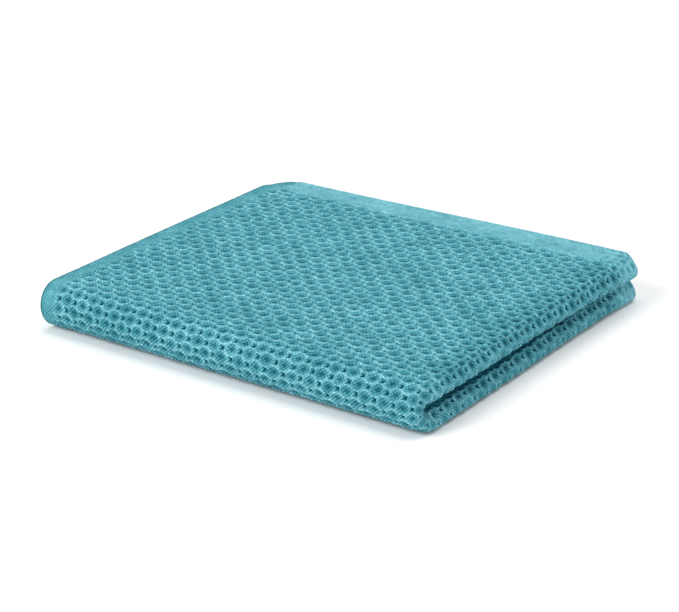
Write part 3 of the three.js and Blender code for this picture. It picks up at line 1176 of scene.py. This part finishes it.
class WovenCloth:
    """The folded cloth itself: one closed sheet, with the weave's relief on its face."""

    def __init__(self, form: FoldedForm, weave: WaffleWeave, steps: MeshSteps) -> None:
        """Keeps the form and the weave that the mesh is made from."""
        self.form = form
        self.weave = weave
        self.plan = WeavePlan(form, weave, ArrayMaths())
        self.grid = ClothGrid(form, weave.repeat, steps)

    def face_lift(self, across: np.ndarray, along: np.ndarray) -> np.ndarray:
        """The height of the face over the middle of the cloth's thickness.

        Args:
            across: distances across the cloth.
            along: distances along the cloth.

        Returns:
            Heights, with the weave's relief and the drawn-in seams.
        """
        plan, weave = self.plan, self.weave
        cell = plan.cell(*self.woven_place(across, along))
        relief = plan.relief(cell, plan.pull(across, along))
        depth = weave.depths(cell.row, cell.column) * (1 - relief.risen) + plan.lowered(relief)
        field_depth = blend(weave.hem_relief, 1.0, plan.field(across, along)) * depth
        side, end = (np.exp(-((off / weave.seam_width) ** 2)) for off in plan.off_seams(across, along))
        lift = self.form.half_thickness(across, along) - weave.seam_depth * np.maximum(side, end)
        return lift - field_depth * (1 - plan.stretch(across, along))

    def woven_place(self, across: np.ndarray, along: np.ndarray) -> np.ndarray:
        """Where points lie in the even grid of the weave, across and along."""
        return np.stack([across, along]) + self.weave.shifts(across, along) * self.plan.field(across, along)

    def surface(self, across: np.ndarray, along: np.ndarray, lift: np.ndarray) -> np.ndarray:
        """The folded points. The weave wanders off its true place, but not at the hems."""
        field = self.plan.field(across, along)
        over = field * sum(wander.at(along, across) for wander in self.weave.wander_across)
        down = field * sum(wander.at(across, along) for wander in self.weave.wander_along)
        return self.form.place(across + over, along + down, lift)

    def build(self, name: str, material: bpy.types.Material) -> bpy.types.Object:
        """Makes the cloth's mesh.

        Args:
            name: the object's name.
            material: the cotton material.

        Returns:
            The cloth, as one closed object.
        """
        grid = self.grid
        used_columns, used_rows = np.nonzero(grid.used)
        across, along = grid.columns[used_columns], grid.rows[used_rows]
        face = self.surface(across, along, self.face_lift(across, along))
        columns, rows = grid.reverse_columns(), grid.reverse_rows()
        back_across, back_along = np.meshgrid(grid.columns[columns], grid.rows[rows], indexing="ij")
        reverse = self.surface(back_across, back_along, -self.form.half_thickness(back_across, back_along))
        reverse_index = len(face) + np.arange(back_across.size).reshape(back_across.shape)

        border = grid.border()
        rings = self._rim(border)
        ring_index = len(face) + back_across.size + np.arange(rings[..., 0].size).reshape(rings.shape[:2])
        points = np.concatenate([face, reverse.reshape(-1, 3), rings.reshape(-1, 3)])
        weave_map = np.concatenate([
            self.woven_place(across, along).T,
            np.stack([back_across, back_along], -1).reshape(-1, 2),
            self._rim_map(border).reshape(-1, 2),
        ]) / self.weave.repeat

        faces = grid.faces() + self._reverse_faces(reverse_index)
        loops = [grid.index[border[:, 0], border[:, 1]], *ring_index]
        for first, second in zip(loops, loops[1:]):
            after_first, after_second = np.roll(first, -1), np.roll(second, -1)
            faces += np.stack([after_first, first, second, after_second], -1).tolist()
        faces += self._last_strip(loops[-1], border, reverse_index, columns, rows)
        return make_object(name, points, faces, material, weave_map)

    def _rim(self, border: np.ndarray) -> np.ndarray:
        """The rounded outer edge of the hems.

        Args:
            border: the counts of the outermost points.

        Returns:
            Rings of points, from the face to the reverse.
        """
        columns, rows = self.grid.columns, self.grid.rows
        inwards = np.clip(border, 1, [len(columns) - 2, len(rows) - 2])
        across, along = columns[border[:, 0]], rows[border[:, 1]]
        zero = np.zeros(len(border))
        middle = self.surface(across, along, zero)
        outwards = middle - self.surface(columns[inwards[:, 0]], rows[inwards[:, 1]], zero)
        outwards /= np.linalg.norm(outwards, axis=-1, keepdims=True)
        top = self.surface(across, along, self.face_lift(across, along)) - middle
        bottom = self.surface(across, along, -self.form.half_thickness(across, along)) - middle
        rings = []
        for angle in np.radians(self.grid.steps.rim_angles):
            rise = top * math.sin(angle) if angle > 0 else -bottom * math.sin(angle)
            rings.append(middle + outwards * self.form.sizes.edge_bulge * math.cos(angle) + rise)
        return np.array(rings)

    def _rim_map(self, border: np.ndarray) -> np.ndarray:
        """The rings' places on the cloth, which go on outwards past its border."""
        last = np.array([self.grid.last_column, self.grid.last_row])
        outwards = np.where(border == last, 1.0, 0.0) - np.where(border == 0, 1.0, 0.0)
        reach = self.form.sizes.hem_thickness / 2 * np.radians(90 - np.array(self.grid.steps.rim_angles))
        place = np.stack([self.grid.columns[border[:, 0]], self.grid.rows[border[:, 1]]], -1)
        return place[None] + outwards[None] * reach[:, None, None]

    @staticmethod
    def _reverse_faces(index: np.ndarray) -> list[list[int]]:
        """The faces of the reverse, which look the other way."""
        corners = [index[:-1, :-1], index[1:, :-1], index[1:, 1:], index[:-1, 1:]]
        return np.stack(corners, -1).reshape(-1, 4).tolist()

    @staticmethod
    def _last_strip(
        ring: np.ndarray, border: np.ndarray, reverse: np.ndarray, columns: np.ndarray, rows: np.ndarray
    ) -> list[list[int]]:
        """Joins the last ring of the rim to the reverse, whose edge has fewer points.

        Args:
            ring: the last ring's points.
            border: the counts of the outermost points.
            reverse: the reverse's points, by column and row.
            columns: the counts of the reverse's columns.
            rows: the counts of the reverse's rows.

        Returns:
            The faces.
        """
        column_at = {int(c): k for k, c in enumerate(columns)}
        row_at = {int(r): k for k, r in enumerate(rows)}
        places = border.tolist()
        kept = [k for k, (i, j) in enumerate(places) if i in column_at and j in row_at]
        faces = []
        for here, after in zip(kept, [*kept[1:], kept[0] + len(places)]):
            fine = [int(ring[k % len(places)]) for k in range(here, after + 1)]
            ends = (places[here], places[after % len(places)])
            faces.append([*reversed(fine), *(int(reverse[column_at[i], row_at[j]]) for i, j in ends)])
        return faces


@dataclass(frozen=True)
class StitchSizes:
    """The sewing of the hems, in metres.

    The taper is how thin a stitch's ends are and the sunk share how deep they lie, both in radii. The
    end shares say where a seam starts, as a share of the other seam's distance from the edge.
    """

    pitch: float = 2.6 * MM
    length: float = 2.1 * MM
    radius: float = 0.22 * MM
    slant: float = 0.8 * MM
    crown: float = 0.22 * MM
    fullness: float = 0.7
    taper: float = 0.35
    sunk: float = 0.5
    side_seam_end: float = 0.3
    end_seam_end: float = 0.6
    sides: int = 6
    steps: int = 5


class HemStitching:
    """The lockstitch that holds the four hems, as one mesh of separate stitches."""

    def __init__(self, cloth: WovenCloth, sizes: StitchSizes) -> None:
        """Keeps the cloth that is sewn, and the stitch sizes."""
        self.cloth = cloth
        self.sizes = sizes

    def seams(self) -> tuple[np.ndarray, np.ndarray]:
        """Where the stitches are.

        Returns:
            Each stitch's start and its direction, both as distances across and along.
        """
        s, form, weave = self.sizes, self.cloth.form, self.cloth.weave
        totals = (form.across_total, form.along_total)
        starts, ways = [], []
        for axis, seam, end in (
            (1, weave.side_seam, weave.end_seam * s.side_seam_end),
            (0, weave.end_seam, weave.side_seam * s.end_seam_end),
        ):
            run = np.arange(end, totals[axis] - end, s.pitch)
            for beside in (seam, totals[1 - axis] - seam):
                start = np.full((len(run), 2), beside)
                start[:, axis] = run
                starts.append(start)
                ways.append(np.tile(np.eye(2)[axis], (len(run), 1)))
        return np.concatenate(starts), np.concatenate(ways)

    def build(self, name: str, material: bpy.types.Material) -> bpy.types.Object:
        """Makes all stitches as one mesh.

        Args:
            name: the object's name.
            material: the thread's material.

        Returns:
            The stitches, as one object.
        """
        s, cloth = self.sizes, self.cloth
        starts, ways = self.seams()
        beside = ways[:, ::-1] * np.array([1.0, -1.0])
        share = np.linspace(0.0, 1.0, s.steps)
        places = starts[:, None] + ways[:, None] * (s.length * share)[None, :, None]
        places = places + beside[:, None] * (s.slant * (share - 0.5))[None, :, None]
        across, along = places[..., 0], places[..., 1]
        rise = s.crown * np.sin(math.pi * share) ** s.fullness - s.sunk * s.radius
        lift = cloth.face_lift(across, along) + rise[None, :]
        middle = cloth.surface(across, along, lift)
        up = cloth.surface(across, along, lift + 0.1 * MM) - middle
        up /= np.linalg.norm(up, axis=-1, keepdims=True)
        forward = np.gradient(middle, axis=1)
        forward /= np.linalg.norm(forward, axis=-1, keepdims=True)
        sideways = np.cross(forward, up)
        angles = np.linspace(0.0, 2 * math.pi, s.sides, endpoint=False)
        radius = s.radius * np.array([s.taper, *([1.0] * (s.steps - 2)), s.taper])
        around = (
            sideways[:, :, None] * np.cos(angles)[None, None, :, None]
            + up[:, :, None] * np.sin(angles)[None, None, :, None]
        )
        rings = middle[:, :, None] + around * radius[None, :, None, None]
        index = np.arange(rings[..., 0].size).reshape(rings.shape[:3])
        after = np.roll(index, -1, axis=2)
        walls = np.stack([index[:, :-1], after[:, :-1], after[:, 1:], index[:, 1:]], -1).reshape(-1, 4)
        faces = walls.tolist() + index[:, 0, ::-1].tolist() + index[:, -1].tolist()
        weave_map = np.repeat(places.reshape(-1, 2), s.sides, axis=0) / cloth.weave.repeat
        return make_object(name, rings.reshape(-1, 3), faces, material, weave_map)


@dataclass(frozen=True)
class Softbox:
    """One soft light: where it hangs, how large it is, and how strong."""

    name: str
    place: tuple[float, float, float]
    size: float
    power: float


@dataclass(frozen=True)
class StudioSizes:
    """Where the camera and the lights stand, in metres and degrees, and how pale all else is."""

    azimuth: float = 34.9
    elevation: float = 22.35
    distance: float = 0.781
    aim: tuple[float, float, float] = (-0.0005, -0.003, 0.0039)
    lens: float = 121.0
    clip: tuple[float, float] = (0.01, 20.0)
    floor_size: float = 6.0
    floor_colour: Colour = (0.90, 0.90, 0.90)
    floor_roughness: float = 0.9
    floor_specular: float = 0.1
    sky_strength: float = 0.52
    lights: tuple[Softbox, ...] = (
        Softbox("key", (-0.75, -1.35, 1.15), 0.9, 23.2),
        Softbox("fill", (1.5, -0.9, 0.36), 0.7, 8.0),
        Softbox("top", (0.1, 0.5, 1.7), 1.6, 18.8),
    )


class Studio:
    """A plain pale floor, soft light, and the camera."""

    def __init__(self, sizes: StudioSizes) -> None:
        """Keeps the studio's sizes."""
        self.sizes = sizes

    def build(self) -> None:
        """Makes the camera, the floor, the lights and the surroundings."""
        self._camera()
        self._floor()
        for light in self.sizes.lights:
            self._light(light)
        self._surroundings()

    @staticmethod
    def _hang(name: str, data: bpy.types.ID, place: Vector, back: Vector) -> bpy.types.Object:
        """Puts a camera or a light in its place, with its back to a direction."""
        made = bpy.data.objects.new(name, data)
        made.location = place
        made.rotation_mode = "QUATERNION"
        made.rotation_quaternion = (-back).to_track_quat("-Z", "Y")
        bpy.context.scene.collection.objects.link(made)
        return made

    def _camera(self) -> None:
        """The camera at the photograph's angle."""
        s = self.sizes
        azimuth, elevation = math.radians(s.azimuth), math.radians(s.elevation)
        level = math.cos(elevation)
        back = Vector((math.sin(azimuth) * level, -math.cos(azimuth) * level, math.sin(elevation)))
        data = bpy.data.cameras.new("camera")
        data.lens = s.lens
        data.clip_start, data.clip_end = s.clip
        bpy.context.scene.camera = self._hang("camera", data, Vector(s.aim) + back * s.distance, back)

    def _floor(self) -> None:
        """A large pale floor."""
        s, half = self.sizes, self.sizes.floor_size / 2
        material = bpy.data.materials.new("pale_floor")
        constants = {"Roughness": s.floor_roughness, "Specular IOR Level": s.floor_specular}
        NodeMaths(material).end(s.floor_colour, None, constants)
        corners = [(-half, -half, 0), (half, -half, 0), (half, half, 0), (-half, half, 0)]
        floor = make_object("floor", corners, [[0, 1, 2, 3]], material)

    def _light(self, softbox: Softbox) -> None:
        """One square area light, aimed at the cloth."""
        data = bpy.data.lights.new(softbox.name, "AREA")
        data.shape = "SQUARE"
        data.size = softbox.size
        data.energy = softbox.power
        self._hang(softbox.name, data, Vector(softbox.place), Vector(softbox.place))

    def _surroundings(self) -> None:
        """Even pale light from all round, and plain colour handling."""
        world = bpy.data.worlds.new("surroundings")
        world.use_nodes = True
        background = world.node_tree.nodes["Background"]
        background.inputs["Color"].default_value = (1.0, 1.0, 1.0, 1.0)
        background.inputs["Strength"].default_value = self.sizes.sky_strength
        scene = bpy.context.scene
        scene.world = world
        scene.view_settings.view_transform = "Standard"
        scene.view_settings.look = "None"
        scene.view_settings.exposure = 0.0


def report(piece: bpy.types.Object) -> None:
    """Logs a piece's size."""
    faces = piece.data.polygons
    triangles = sum(len(face.vertices) - 2 for face in faces)
    log.info("%s: %d faces, %d triangles", piece.name, len(faces), triangles)


def main() -> None:
    """Builds the studio and the cloth, in order."""
    studio = StudioSizes()
    Studio(studio).build()
    log.info("studio: camera, floor and %d softboxes", len(studio.lights))

    form = FoldedForm(ClothSizes())
    weave = WaffleWeave()
    finish = CottonFinish()
    woven = WovenCloth(form, weave, MeshSteps())
    cloth = woven.build("cloth_woven", CottonMaterial(form, weave, finish, "cotton_waffle").build())
    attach(cloth, "root")
    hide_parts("cloth")
    report(cloth)

    thread = ThreadMaterial(finish, "cotton_thread").build()
    stitches = HemStitching(woven, StitchSizes()).build("cloth_stitches", thread)
    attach(stitches, "root")
    report(stitches)


if __name__ == "__main__":
    main()
